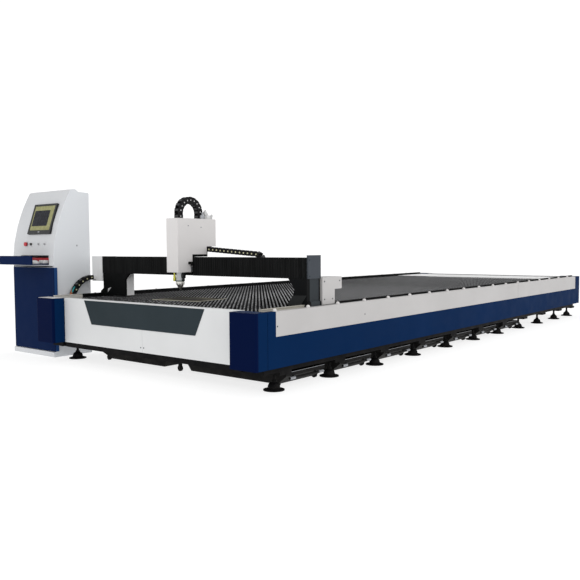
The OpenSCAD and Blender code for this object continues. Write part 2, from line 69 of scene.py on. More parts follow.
def at(x, y, z):
    """A point given from the loading end, the bed's centre line and the floor."""
    return Vector((x, y, z)) - ORIGIN_TO_BED


def at_x(x):
    """How far along the bed x is, in the frame of the solids."""
    return x - ORIGIN_TO_BED.x


def at_y(y):
    """How far across the bed y is, in the frame of the solids."""
    return y - ORIGIN_TO_BED.y


def verts_in(geometry):
    """The corners among what a bmesh operator has made."""
    return [g for g in geometry if isinstance(g, bmesh.types.BMVert)]


def block(bm, lo, hi, edge=0.0, segments=2):
    """A block between two corners, with its edges rounded by edge."""
    lo, hi = Vector(lo), Vector(hi)
    verts = bmesh.ops.create_cube(bm, size=1.0)["verts"]
    bmesh.ops.scale(bm, vec=hi - lo, verts=verts)
    bmesh.ops.translate(bm, vec=(lo + hi) / 2, verts=verts)
    if edge:
        edges = list({e for v in verts for e in v.link_edges})
        made = bmesh.ops.bevel(bm, geom=edges, offset=edge, segments=segments, profile=0.5,
                               affect="EDGES", material=-1)
        verts = list({v for f in made["faces"] for v in f.verts} | {v for v in verts if v.is_valid})
    return verts


def rod(bm, start, end, radius, end_radius=None, segments=20, edge=0.0):
    """A round bar or cone from start to end."""
    start, end = Vector(start), Vector(end)
    turn = (end - start).to_track_quat("Z", "Y").to_matrix().to_4x4()
    place = Matrix.Translation((start + end) / 2) @ turn
    verts = bmesh.ops.create_cone(
        bm, cap_ends=True, cap_tris=False, segments=segments, radius1=radius,
        radius2=radius if end_radius is None else end_radius,
        depth=(end - start).length, matrix=place)["verts"]
    if edge:
        rims = list({e for v in verts for e in v.link_edges
                     if any(len(f.verts) == segments for f in e.link_faces)})
        bmesh.ops.bevel(bm, geom=rims, offset=edge, segments=2, profile=0.5, affect="EDGES",
                        material=-1)
    return verts


def turned(bm, profile, centre, segments=32):
    """A shape turned on a lathe about a vertical axis; profile is a list of (radius, height)."""
    chain = [bm.verts.new(Vector(centre) + Vector((r, 0, z))) for r, z in profile]
    edges = [bm.edges.new(pair) for pair in zip(chain, chain[1:])]
    bmesh.ops.spin(bm, geom=chain + edges, cent=centre, axis=(0, 0, 1), dvec=(0, 0, 0),
                   angle=math.tau, steps=segments, use_merge=True, use_normal_flip=False,
                   use_duplicate=False)
    bmesh.ops.remove_doubles(bm, verts=bm.verts, dist=1e-6)


def repeat(bm, places):
    """Copies all that bm holds to each place, and removes the first one."""
    first = bm.verts[:] + bm.edges[:] + bm.faces[:]
    for place in places:
        made = bmesh.ops.duplicate(bm, geom=first)["geom"]
        bmesh.ops.transform(bm, matrix=place, verts=verts_in(made))
    bmesh.ops.delete(bm, geom=verts_in(first), context="VERTS")


# %% Helper that finishes a piece
def finish_piece(bm, name, material, body, sharp=35, turn_out=True):
    """Makes bm an object called name, which rides on body and takes material as its finish."""
    if turn_out:
        bmesh.ops.recalc_face_normals(bm, faces=bm.faces)
    mesh = bpy.data.meshes.new(name)
    bm.to_mesh(mesh)
    bm.free()
    mesh.shade_smooth()
    mesh.set_sharp_from_angle(angle=math.radians(sharp))
    for one in material if isinstance(material, list) else [material]:
        mesh.materials.append(one)
    piece = bpy.data.objects.new(name, mesh)
    bpy.context.scene.collection.objects.link(piece)
    if body:
        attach(piece, body)
    print(name, "-", len(mesh.polygons), "faces")
    return piece


# %% [markdown]
# ## Finishes
# Sheet metal machines are powder coated: an even colour with a fine orange-peel bump, a sheen that
# varies a little and some dust low down. A small class wraps the shader nodes, so that each finish
# reads as a short recipe. All patterns are in object coordinates, in metres.

# %% A class for building finishes
class Finish:
    """A material in the making: each method adds one node and returns its output."""

    def __init__(self, name, colour, roughness, metallic=0.0, gloss=0.2):
        self.material = bpy.data.materials.new(name)
        self.material.use_nodes = True
        self.tree = self.material.node_tree
        self.shader = next(n for n in self.tree.nodes if n.type == "BSDF_PRINCIPLED")
        self.set("Base Color", colour)
        self.set("Roughness", roughness)
        self.shader.inputs["Metallic"].default_value = metallic
        self.shader.inputs["Specular IOR Level"].default_value = gloss
        self.place = self.node("TexCoord").outputs["Object"]

    def node(self, kind, **settings):
        made = self.tree.nodes.new("ShaderNode" + kind)
        for key, value in settings.items():
            setattr(made, key, value)
        return made

    def put(self, socket, value):
        if isinstance(value, bpy.types.NodeSocket):
            self.tree.links.new(value, socket)
        elif isinstance(value, (tuple, list)) and len(value) == 3 and socket.type == "RGBA":
            socket.default_value = (*value, 1)
        else:
            socket.default_value = value

    def set(self, name, value):
        self.put(self.shader.inputs[name], value)

    def noise(self, scale, detail=2.0, stretch=None):
        """Soft cloudy noise; stretch squeezes it along the axes, as brush marks are."""
        made = self.node("TexNoise")
        made.inputs["Scale"].default_value = scale
        made.inputs["Detail"].default_value = detail
        place = self.place
        if stretch:
            mapping = self.node("Mapping")
            self.put(mapping.inputs["Vector"], place)
            mapping.inputs["Scale"].default_value = stretch
            place = mapping.outputs["Vector"]
        self.put(made.inputs["Vector"], place)
        return made.outputs["Fac"]

    def fit(self, value, low, high, to_low=0.0, to_high=1.0):
        """Rescales value from low..high to to_low..to_high, cut off at both ends."""
        made = self.node("MapRange")
        for name, number in zip(("Value", "From Min", "From Max", "To Min", "To Max"),
                                (value, low, high, to_low, to_high)):
            self.put(made.inputs[name], number)
        return made.outputs["Result"]

    def math(self, operation, a, b=0.0):
        made = self.node("Math", operation=operation)
        self.put(made.inputs[0], a)
        self.put(made.inputs[1], b)
        return made.outputs[0]

    def mix(self, share, a, b):
        """Colour a at share 0, colour b at share 1."""
        # The node has a socket of each name per data type, so the colour ones go by number.
        made = self.node("Mix", data_type="RGBA")
        self.put(made.inputs[0], share)
        self.put(made.inputs[6], a)
        self.put(made.inputs[7], b)
        return made.outputs[2]

    def axis(self, name):
        """One object coordinate, X, Y or Z."""
        made = self.node("SeparateXYZ")
        self.put(made.inputs[0], self.place)
        return made.outputs[name]

    def bump(self, height, strength, distance):
        made = self.node("Bump")
        made.inputs["Strength"].default_value = strength
        made.inputs["Distance"].default_value = distance
        self.put(made.inputs["Height"], height)
        self.set("Normal", made.outputs["Normal"])


def shade(colour, factor):
    return tuple(min(1.0, c * factor) for c in colour)


# %% Recipe: powder coat
def powder_coat(name, colour, roughness=0.46, variation=0.05, dust=0.0, gloss=0.05, beyond=None):
    """Baked paint on sheet metal, with an orange-peel bump and, near the floor, some dust.

    beyond is (limits, other): the paint is other where every limit holds. A limit is an axis, a
    place on it, and -1 for what lies before the place or 1 for what lies after it."""
    f = Finish(name, colour, roughness, gloss=gloss)
    even = f.mix(f.fit(f.noise(1.6, 3), 0.35, 0.65), shade(colour, 1 - variation),
                 shade(colour, 1 + variation))
    if beyond:
        limits, other = beyond
        share = 1.0
        for axis, place, way in limits:
            step = f.fit(f.axis(axis), place - 0.003 * way, place + 0.003 * way)
            share = f.math("MULTIPLY", share, step)
        even = f.mix(share, even, other)
    if dust:
        low = f.fit(f.axis("Z"), 0.02, 0.30, dust, 0.0)
        patchy = f.math("MULTIPLY", low, f.fit(f.noise(11, 4), 0.35, 0.7))
        even = f.mix(patchy, even, (0.12, 0.11, 0.10))
    f.set("Base Color", even)
    f.set("Roughness", f.fit(f.noise(6, 3), 0.3, 0.7, roughness - 0.05, roughness + 0.08))
    f.bump(f.noise(380, 1), 0.10, 0.0006)
    return f.material


# %% Recipes: bare metal and plastic
def brushed(name, colour, roughness=0.32, stretch=(8, 220, 220), variation=0.12):
    """Machined or rolled metal with fine marks along one axis."""
    f = Finish(name, colour, roughness, metallic=1.0)
    marks = f.noise(3, 4, stretch=stretch)
    f.set("Base Color", f.mix(f.fit(marks, 0.3, 0.7), shade(colour, 1 - variation),
                              shade(colour, 1 + variation)))
    f.set("Roughness", f.fit(marks, 0.3, 0.7, roughness - 0.07, roughness + 0.1))
    f.bump(marks, 0.15, 0.0004)
    return f.material


def moulded(name, colour, roughness=0.45, grain=900, gloss=0.25):
    """Moulded plastic with a fine spark-eroded grain."""
    f = Finish(name, colour, roughness, gloss=gloss)
    f.set("Base Color", f.mix(f.fit(f.noise(24, 3), 0.3, 0.7), shade(colour, 0.9),
                              shade(colour, 1.1)))
    f.set("Roughness", f.fit(f.noise(60, 2), 0.3, 0.7, roughness - 0.06, roughness + 0.08))
    f.bump(f.noise(grain, 1), 0.12, 0.0003)
    return f.material


# %% Paints of this machine
post_front_x, door_front_x = at_x(-0.113), at_x(0.118)
SHADED_FRONT_BLUE, SIDE_BLUE = (0.0016, 0.0058, 0.034), (0.0016, 0.0165, 0.064)
white_paint = powder_coat("white_powder_coat", (0.690, 0.672, 0.666), variation=0.03, gloss=0.2)
# A darker copy of the white paint for the faces that the side light hits: painted shade.
shaded_white = powder_coat("white_coat_painted_shade", (0.460, 0.449, 0.445), variation=0.03,
                         gloss=0.2)
front_white = powder_coat("front_white_powder_coat", (0.66, 0.668, 0.672), variation=0.03,
                          gloss=0.2)
# A brighter copy of the white paint: painted light on the gantry's left covers, which lie in shade;
# the rear panel takes it too.
lit_white = powder_coat("white_coat_painted_light", (0.80, 0.80, 0.80), variation=0.02, gloss=0.2)
blue_paint = powder_coat("blue_powder_coat", SIDE_BLUE, gloss=0.01)
# The front posts' front faces take a darker copy of the side blue: painted shade.
post_paint_and_shade = powder_coat("post_coat_painted_front_shade", SIDE_BLUE, gloss=0.01,
                         beyond=([("X", post_front_x, -1)], SHADED_FRONT_BLUE))
tray_paint = powder_coat("tray_powder_coat", (0.0030, 0.0115, 0.052), gloss=0.015)
# The door's folded edge behind its front takes a lighter blue, a painted highlight at the fold; the
# front keeps the door's own dark blue.
door_paint_and_highlight = powder_coat("door_coat_painted_edge_highlight", (0.020, 0.062, 0.185), gloss=0.015,
                         beyond=([("X", door_front_x, -1)], (0.0030, 0.0125, 0.054)))
# The cabinet's side that faces the side light takes a lighter copy of the grey: painted light.
console_grey_and_lit_side = powder_coat("console_coat_painted_side_light", (0.61, 0.622, 0.64), variation=0.02, gloss=0.2,
                           beyond=([("Y", at_y(1.592), -1)], (0.76, 0.785, 0.815)))
black_paint = powder_coat("black_powder_coat", (0.0045, 0.0045, 0.005), 0.5, 0.1, dust=0.10,
                          gloss=0.03)
beam_black = powder_coat("beam_black", (0.0050, 0.0055, 0.0055), 0.5, 0.1, gloss=0.04)
leg_black = powder_coat("right_leg_paint", (0.0060, 0.0065, 0.0070), 0.5, 0.1, gloss=0.04,
                        beyond=([("Y", at_y(-1.4155), -1), ("X", at_x(0.644), 1),
                                 ("X", at_x(0.770), -1)], (0.046, 0.053, 0.059)))
leg_plate_paint = powder_coat("leg_plate_paint", (0.0270, 0.0285, 0.0290), gloss=0.04)
slate_paint = powder_coat("slate_powder_coat", (0.024, 0.034, 0.040))
cover_grey = powder_coat("cover_grey_powder_coat", (0.055, 0.062, 0.073))
trolley_paint = powder_coat("trolley_paint", (0.008, 0.008, 0.008), 0.55, 0.15, dust=0.12)
RAIL_BLACK = (0.0060, 0.0062, 0.0066)
rail_black = powder_coat("rail_black", RAIL_BLACK, 0.5, gloss=0.04,
                         beyond=([("X", at_x(0.34), -1)], (0.62, 0.60, 0.56)))
rail_black_right = powder_coat("right_rail_black", RAIL_BLACK, 0.5, gloss=0.04,
                               beyond=([("X", at_x(0.56), -1)], (0.42, 0.40, 0.35)))

# %% Metals and plastics of this machine
rail_steel = brushed("rail_steel", (0.055, 0.055, 0.058), 0.35)
plate_steel = brushed("plate_steel", (0.20, 0.205, 0.21), 0.36)
UPRIGHT_MARKS = (160, 160, 10)
head_metal = brushed("head_aluminium", (0.42, 0.43, 0.44), 0.34, stretch=UPRIGHT_MARKS)
nozzle_metal = brushed("nozzle_nickel", (0.72, 0.71, 0.67), 0.30, stretch=UPRIGHT_MARKS)
brass = brushed("fitting_brass", (0.58, 0.55, 0.10), 0.34, stretch=UPRIGHT_MARKS)
bare_grey = brushed("zinc_plated_steel", (0.34, 0.35, 0.37), 0.42)
chain_plastic = moulded("chain_plastic", (0.008, 0.008, 0.009), 0.5, gloss=0.12)
chain_top = moulded("chain_bar_plastic", (0.050, 0.052, 0.054), 0.5, gloss=0.2)
dot_plastic = moulded("chain_mark_plastic", (0.72, 0.70, 0.45), 0.5)
black_plastic = moulded("black_plastic", (0.010, 0.011, 0.012), 0.38)
cream_plastic = moulded("cream_plastic", (0.66, 0.62, 0.50), 0.45)
red_plastic = moulded("red_plastic", (0.50, 0.03, 0.04), 0.35)
grey_plastic = moulded("grey_plastic", (0.30, 0.31, 0.33), 0.4)
light_plastic = moulded("light_plastic", (0.62, 0.62, 0.62), 0.4)
button_black = moulded("button_black_plastic", (0.008, 0.010, 0.010), 0.3)
copper_hose = moulded("copper_hose", (0.42, 0.15, 0.07), 0.4)
teal_hose = moulded("teal_hose", (0.02, 0.26, 0.28), 0.4)
rubber = moulded("black_rubber", (0.008, 0.008, 0.008), 0.7, grain=300, gloss=0.1)
green_ring = moulded("green_ceramic_ring", (0.006, 0.050, 0.022), 0.4)
print("finishes:", len(bpy.data.materials))

# %% Give each solid its finish
FINISH_OF = {
    white_paint: ["side_upper_left", "edge_caps_left", "edge_caps_right", "x_chain_trough",
                  "head_housing"],
    shaded_white: ["side_upper_right", "drive_cover_right"],
    lit_white: ["rear_panel", "gantry_cover_left", "drive_cover_left"],
    front_white: ["front_panel_left", "front_panel_right"],
    blue_paint: ["side_lower_left", "side_lower_right", "post_rear_left", "post_rear_right"],
    post_paint_and_shade: ["post_front_left", "post_front_right"],
    door_paint_and_highlight: ["console_door"], tray_paint: ["keyboard_tray"],
    console_grey_and_lit_side: ["console_cabinet"],
    black_paint: ["frame_beam_left", "frame_beam_right", "frame_crossbars", "slat_supports",
                  "leveling_feet_left", "leveling_feet_right"],
    beam_black: ["gantry_beam", "gantry_leg_left", "y_chain_trough", "bellows_left",
                 "bellows_right", "carriage_plate"],
    leg_black: ["gantry_leg_right"],
    slate_paint: ["front_plate"],
    cover_grey: ["gantry_cover_right"],
    rail_steel: ["beam_rails"], rail_black: ["rail_left"], rail_black_right: ["rail_right"],
    plate_steel: ["slats"],
    head_metal: ["cutting_head"], nozzle_metal: ["nozzle"], brass: ["head_fitting"],
    chain_plastic: ["x_chain_loop", "y_chain_run", "y_chain_bend", "z_chain"],
    black_plastic: ["monitor"], cream_plastic: ["keyboard"], red_plastic: ["emergency_stop"],
    button_black: ["start_button"], grey_plastic: ["reset_button", "light_button"],
    trolley_paint: [f"scrap_trolley_{k}" for k in range(1, 8)],
}
for material, names in FINISH_OF.items():
    for name in names:
        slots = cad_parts[name].data.materials
        slots.clear()
        slots.append(material)
print("dressed", sum(map(len, FINISH_OF.values())), "of", len(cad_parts))

# %% [markdown]
# ## Slats
# The sheet being cut rests on the points of upright steel slats. Each slat is one grid strip: two
# of every four upper corners are pulled down, so that blunt teeth stand up. Its faces are joined
# to one outline before it gets its thickness, which keeps the slats light.

# %% Make one saw-tooth slat and repeat it along the bed
lo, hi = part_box("slats")
tooth_count, tooth_depth, slat_pitch, slat_thick = 62, 0.034, 0.050, 0.004
corners_per_tooth = 4
slat_count = round((hi.x - lo.x - slat_thick) / slat_pitch) + 1
slat_l, slat_h = hi.y - lo.y, hi.z - lo.z
columns = corners_per_tooth * tooth_count
step = slat_l / columns
bm = bmesh.new()
bmesh.ops.create_grid(bm, x_segments=columns, y_segments=1, size=0.5)
bmesh.ops.scale(bm, vec=(slat_l, slat_h, 1), verts=bm.verts)
for v in bm.verts:
    column = round((v.co.x + slat_l / 2) / step)
    if v.co.y > 0 and column % corners_per_tooth >= corners_per_tooth / 2:
        v.co.y -= tooth_depth
bmesh.ops.dissolve_faces(bm, faces=bm.faces)
straight = [v for v in bm.verts if v.co.y < 0 and abs(v.co.x) < slat_l / 2 - step / 2]
bmesh.ops.dissolve_verts(bm, verts=straight)
stand_up = Matrix(((0, 0, 1, lo.x), (1, 0, 0, (lo.y + hi.y) / 2), (0, 1, 0, (lo.z + hi.z) / 2),
                   (0, 0, 0, 1)))
bmesh.ops.transform(bm, matrix=stand_up, verts=bm.verts)
grown = bmesh.ops.extrude_face_region(bm, geom=bm.faces[:])["geom"]
bmesh.ops.translate(bm, vec=(slat_thick, 0, 0), verts=verts_in(grown))
bmesh.ops.recalc_face_normals(bm, faces=bm.faces)
repeat(bm, [Matrix.Translation((k * slat_pitch, 0, 0)) for k in range(slat_count)])

# %% [markdown]
# Slats are hot-rolled steel that the beam has marked. Below the tips they are near black: soot
# together with painted shade in the gaps between the slats. The tips are bright, less so towards the
# far end and the left side. At the near end single teeth are dark to the tip.

# %% Slat steel
f = Finish("slat_steel", (0.3, 0.3, 0.3), 0.5, gloss=0.2)
to_tip = f.fit(f.axis("Z"), hi.z - 0.009, hi.z - 0.001)
rolled = f.noise(9, 4, stretch=(1, 3, 3))
steel = f.mix(f.fit(rolled, 0.3, 0.7), (0.50, 0.505, 0.515), (0.86, 0.865, 0.88))
far_end = f.fit(f.axis("X"), at_x(1.5), at_x(4.5), 0.0, 0.62)
left_side = f.fit(f.axis("Y"), at_y(0.0), at_y(0.65), 0.0, 0.66)
near_end = f.fit(f.axis("X"), at_x(1.15), at_x(0.55), 0.0, 1.0)
dark_teeth = f.math("MULTIPLY", near_end, f.fit(f.noise(30, 2), 0.42, 0.58, 0.25, 0.95))
darkest = f.math("MAXIMUM", dark_teeth, f.math("MAXIMUM", far_end, left_side))
steel = f.mix(darkest, steel, (0.06, 0.06, 0.062))
# Near black below the tips: soot together with painted shade between the slats.
f.set("Base Color", f.mix(to_tip, (0.005, 0.005, 0.006), steel))
f.set("Roughness", f.fit(rolled, 0.3, 0.7, 0.40, 0.62))
f.bump(f.noise(160, 3), 0.2, 0.0006)
slat_teeth = finish_piece(bm, "slat_teeth", f.material, "bed", turn_out=False)
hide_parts("slats")
print(slat_count, "slats with", tooth_count, "teeth each")

# %% [markdown]
# A small test sheet lies on the tips near the head. It is a thin rolled plate, so one flat block
# does, with its sheared edges left bright.

# %% Test sheet on the slats
sheet_l, sheet_w, sheet_t, sheet_turn = 0.44, 0.59, 0.0045, math.radians(8)
f = Finish("test_sheet", (0.05, 0.045, 0.028), 0.6, gloss=0.01)
f.set("Base Color", f.mix(f.fit(f.noise(5, 4), 0.42, 0.60), (0.018, 0.016, 0.011),
                          (0.085, 0.076, 0.050)))
f.bump(f.noise(60, 2), 0.1, 0.0005)
bm = bmesh.new()
block(bm, (-sheet_l / 2, -sheet_w / 2, 0), (sheet_l / 2, sheet_w / 2, sheet_t))
bmesh.ops.transform(bm, verts=bm.verts, matrix=Matrix.Translation(at(0.770, 0.200, 0.6402))
                    @ Matrix.Rotation(sheet_turn, 4, "Z"))
edge_steel = moulded("sheared_edge", (0.66, 0.63, 0.52), 0.5)
for face in bm.faces:
    face.material_index = 0 if abs(face.normal.z) > 0.5 else 1
finish_piece(bm, "test_sheet", [f.material, edge_steel], "bed")

# %% [markdown]
# ## Bellows
# Folded covers keep dust off the rails of the bridge. They stretch on one side of the head and fold
# up on the other; each is one zigzag strip.

# %% Coated cloth for the bellows
f = Finish("bellows_cloth", (0.006, 0.006, 0.0065), 0.6, gloss=0.10)
f.set("Base Color", f.mix(f.fit(f.noise(4, 3, stretch=(1, 9, 0.6)), 0.35, 0.65),
                          (0.0030, 0.0032, 0.0034), (0.0085, 0.0090, 0.0092)))
f.bump(f.noise(700, 1), 0.15, 0.0004)
bellows_cloth = f.material


# %% Fold the two bellows
cloth_t, fold_inset = 0.0010, 0.0012


def fold_bellows(node, folds):
    """A zigzag strip in place of the plain one."""
    lo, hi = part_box(node)
    length, height = hi.y - lo.y, hi.z - lo.z
    step = length / (2 * folds)
    bm = bmesh.new()
    bmesh.ops.create_grid(bm, x_segments=2 * folds, y_segments=1, size=0.5)
    bmesh.ops.scale(bm, vec=(length, height, 1), verts=bm.verts)
    for v in bm.verts:
        is_back = round((v.co.x + length / 2) / step) % 2
        v.co.z = (hi.x - fold_inset) if is_back else (lo.x + fold_inset)
    turn = Matrix(((0, 0, 1, 0), (1, 0, 0, (lo.y + hi.y) / 2), (0, 1, 0, (lo.z + hi.z) / 2),
                   (0, 0, 0, 1)))
    bmesh.ops.transform(bm, matrix=turn, verts=bm.verts)
    bmesh.ops.recalc_face_normals(bm, faces=bm.faces)
    bmesh.ops.solidify(bm, geom=bm.faces[:], thickness=cloth_t)
    piece = finish_piece(bm, node + "_folds", bellows_cloth, None, sharp=20)
    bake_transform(piece)
    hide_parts(node)


fold_bellows("bellows_left", 44)
fold_bellows("bellows_right", 47)

# %% [markdown]
# ## Cable chains
# A cable chain is a row of equal links: two side plates joined by a bar above and below. One link
# is made at the origin, its length along X and its outside up, and copied to each place along the
# path. The copper and teal hoses that it carries show where the long chain bends.


# %% Make the parts of a chain link
PLATE_SHARE, PLATE_STEP = 0.12, 0.001
BAR_INSET, BAR_HALF = 0.006, 0.005
MARK_X, MARK_HALF = -0.004, 0.0015


def link_plates(bm, pitch, height, width):
    """The two stepped side plates of one link about the origin."""
    for side in (-1, 1):
        y0, y1 = sorted((side * width / 2, side * (0.5 - PLATE_SHARE) * width))
        block(bm, (-0.50 * pitch, y0, -height / 2), (0.32 * pitch, y1, height / 2),
              edge=0.06 * height, segments=1)
        block(bm, (0.28 * pitch, y0 + PLATE_STEP, -0.44 * height),
              (0.56 * pitch, y1 - PLATE_STEP, 0.44 * height))


def link_bars(bm, pitch, height, width):
    """The bars that join the plates, one above and one below."""
    half_w = (1 - PLATE_SHARE) * width / 2
    for side in (-1, 1):
        z = side * (height / 2 - BAR_INSET)
        block(bm, (-0.26 * pitch, -half_w, z - BAR_HALF), (0.14 * pitch, half_w, z + BAR_HALF))


def link_marks(bm, width, radius):
    """The round snap mark in the middle of a link's two sides."""
    for y in (-width / 2, width / 2):
        rod(bm, (MARK_X, y - MARK_HALF, 0), (MARK_X, y + MARK_HALF, 0), radius, segments=10)


def arc_places(centre, radius, start, end, count):
    """Places for count links on an arc in the XZ plane, from start to end in degrees."""
    places = []
    for k in range(count):
        angle = math.radians(start + (end - start) * (k + 0.5) / count)
        out = Vector((math.cos(angle), 0, math.sin(angle)))
        along = Vector((-math.sin(angle), 0, math.cos(angle)))
        if end < start:
            along = -along
        side = out.cross(along)
        place = Matrix((along, side, out)).transposed().to_4x4()
        places.append(Matrix.Translation(Vector(centre) + radius * out) @ place)
    return places


def line_places(start, end, count, up=(0, 0, 1)):
    """Places for count links on a straight line."""
    start, end, up = Vector(start), Vector(end), Vector(up)
    along = (end - start).normalized()
    turn = Matrix((along, up.cross(along), up)).transposed().to_4x4()
    return [Matrix.Translation(start.lerp(end, (k + 0.5) / count)) @ turn for k in range(count)]


def lay_chain(name, places, pitch, height, width, body, blend=None, replaces=(),
              mark_r=0.0078, mark_material=dot_plastic):
    """The plates, bars and marks of one stretch of chain, as three pieces."""
    made = []
    for suffix, build, material in (
            ("plates", lambda b: link_plates(b, pitch, height, width), chain_plastic),
            ("bars", lambda b: link_bars(b, pitch, height, width), chain_top),
            ("marks", lambda b: link_marks(b, width, mark_r), mark_material)):
        bm = bmesh.new()
        build(bm)
        repeat(bm, places)
        piece = finish_piece(bm, f"{name}_{suffix}", material, None if blend else body)
        if blend:
            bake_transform(piece)
        made.append(piece)
    if replaces:
        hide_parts(*replaces)
    return made


# %% [markdown]
# The long chain carries the cables from the bed to the bridge. Its bend stands in front of the left
# leg and its lower run lies in the channel. The cross chain lies behind the beam and follows the
# carriage; of its lower run, deep in its channel, only the end that the bend never reaches is made.
# A short arch on the housing feeds the head.

# %% Long chain beside the bed
chain_w, chain_h, long_pitch = 0.058, 0.050, 0.062
loop_r, hose_r, hose_half = 0.265, 0.008, 0.018
lo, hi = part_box("x_chain_loop")
loop_y = (lo.y + hi.y) / 2
loop_out = loop_r + chain_h / 2
loop_centre = Vector((lo.x + loop_out, loop_y, hi.z - loop_out))
lay_chain("x_chain_loop", arc_places(loop_centre, loop_r, 90, 235, 11), long_pitch, chain_h,
          chain_w, "gantry", replaces=("x_chain_loop",))
for name, material, shifts, lift, start, end in (
        ("copper", copper_hose, (-0.013, 0.004), 0.021, 153, 175),
        ("teal", teal_hose, (0.018,), 0.028, 147, 155)):
    bm = bmesh.new()
    for place in arc_places(loop_centre, loop_r + lift, start, end, 4):
        for shift in shifts:
            rod(bm, place @ Vector((-hose_half, shift, 0)), place @ Vector((hose_half, shift, 0)),
                hose_r, segments=12)
    finish_piece(bm, f"x_chain_{name}_hose", material, "gantry")
lo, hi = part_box("x_chain_trough")
run_z = lo.z + 0.003 + chain_h / 2
run_near, run_far = Vector((lo.x + 0.02, loop_y, run_z)), Vector((hi.x - 0.04, loop_y, run_z))
lower_links = int((run_far - run_near).length / long_pitch)
lay_chain("x_chain_lower", line_places(run_near, run_far, lower_links), long_pitch, chain_h,
          chain_w, "bed")

# %% Cross chain behind the beam
link_h, link_pitch = 0.048, 0.0553
lo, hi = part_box("y_chain_run")
run_x = (lo.x + hi.x) / 2
run_start, run_end = (run_x, hi.y, hi.z - link_h / 2), (run_x, lo.y, lo.z + link_h / 2)
lay_chain("y_chain_run", line_places(run_start, run_end, 12), link_pitch, link_h, chain_w, None,
          blend=("carriage", "cross_chain_bend", run_start, run_end), replaces=("y_chain_run",))
bend_lo, bend_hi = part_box("y_chain_bend")
bend_r = bend_hi.y - bend_lo.y
bend_centre = Vector((run_x, bend_hi.y, bend_hi.z - bend_r))
turn_y = Matrix.Translation(bend_centre) @ Matrix.Rotation(math.radians(90), 4, "Z")
bend_arc = arc_places((0, 0, 0), bend_r - link_h / 2, 90, 211, 3)
lay_chain("y_chain_bend", [turn_y @ place for place in bend_arc], link_pitch, link_h, chain_w,
          "cross_chain_bend", replaces=("y_chain_bend",))
lo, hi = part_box("y_chain_trough")
lower_z = lo.z + 0.004 + link_h / 2
bend_reach = 0.60
lay_chain("y_chain_lower", line_places((run_x, bend_centre.y + bend_reach, lower_z),
                                       (run_x, hi.y - 0.02, lower_z), 6),
          link_pitch, link_h, chain_w, "gantry")

# %% Arch of chain on the head housing
lo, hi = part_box("z_chain")
arch_r, arch_h, arch_w, arch_pitch = (hi.x - lo.x) / 2, 0.066, hi.y - lo.y, 0.048
arch_centre = Vector(((lo.x + hi.x) / 2, (lo.y + hi.y) / 2, hi.z - arch_r))
middle = arch_r - arch_h / 2
legs = []
for side in (-1, 1):
    foot = arch_centre + Vector((side * middle, 0, lo.z - arch_centre.z))
    legs += line_places(foot, foot + Vector((0, 0, arch_centre.z - lo.z)), 1, up=(side, 0, 0))
lay_chain("z_chain", legs + arc_places(arch_centre, middle, 0, 180, 9), arch_pitch, arch_h,
          arch_w, "carriage", replaces=("z_chain",), mark_r=0.0058, mark_material=light_plastic)

# %% [markdown]
# ## Operator console
# A monitor sits flush in the sloping front. The picture on it is a plain drawing window: a light
# border and a dark work area. The keyboard stands on the pulled-out tray, with a mouse and two
# small boxes beside it.

# %% Monitor picture
f = Finish("screen_border", (0.28, 0.28, 0.12), 0.3, gloss=0.06)
f.set("Base Color", f.mix(f.fit(f.noise(30, 1, stretch=(1, 6, 1)), 0.4, 0.6), (0.24, 0.24, 0.10),
                          (0.36, 0.35, 0.18)))
screen_border = f.material
f = Finish("screen_work_area", (0.02, 0.02, 0.03), 0.3, gloss=0.06)
f.set("Base Color", f.mix(f.fit(f.noise(45, 2), 0.45, 0.7), (0.012, 0.013, 0.018),
                          (0.03, 0.032, 0.04)))
screen_dark = f.material
lo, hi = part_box("monitor")
monitor_tilt = math.radians(18.2)
monitor_place = Matrix.Translation((lo + hi) / 2) @ Matrix.Rotation(monitor_tilt, 4, "Y")
glass_x = -0.0140


def monitor_plate(name, proud, y0, y1, z0, z1, material):
    """A thin plate that stands proud of the monitor; y and z are from the monitor's middle."""
    bm = bmesh.new()
    block(bm, (glass_x - proud, y0, z0), (glass_x + 0.0002, y1, z1), edge=0.0005, segments=1)
    bmesh.ops.transform(bm, matrix=monitor_place, verts=bm.verts)
    return finish_piece(bm, name, material, "bed")


monitor_plate("screen_glass", 0.0008, -0.1915, 0.1915, -0.1305, 0.1485, screen_border)
monitor_plate("screen_window", 0.0014, -0.120, 0.175, -0.082, 0.098, screen_dark)
monitor_plate("monitor_badge", 0.0036, -0.016, 0.016, -0.156, -0.146, head_metal)

# %% Bezels round the buttons
face_x, bezel_t = at(0.136, 0, 0).x, 0.004


def bezel(bm, button, radius, front_radius):
    """A slightly tapered ring plate behind one button."""
    lo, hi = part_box(button)
    y, z = (lo.y + hi.y) / 2, (lo.z + hi.z) / 2
    rod(bm, (face_x + bezel_t, y, z), (face_x, y, z), radius, front_radius, segments=28)


bm = bmesh.new()
for name, radius in (("start_button", 0.018), ("reset_button", 0.0125), ("light_button", 0.0125)):
    bezel(bm, name, radius, radius * 0.9)
finish_piece(bm, "button_bezels", light_plastic, "bed")
bm = bmesh.new()
bezel(bm, "emergency_stop", 0.0245, 0.0235)
finish_piece(bm, "stop_bezel", grey_plastic, "bed")

# %% Black strip of painted shade round the door, and a screw on the side
lo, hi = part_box("console_door")
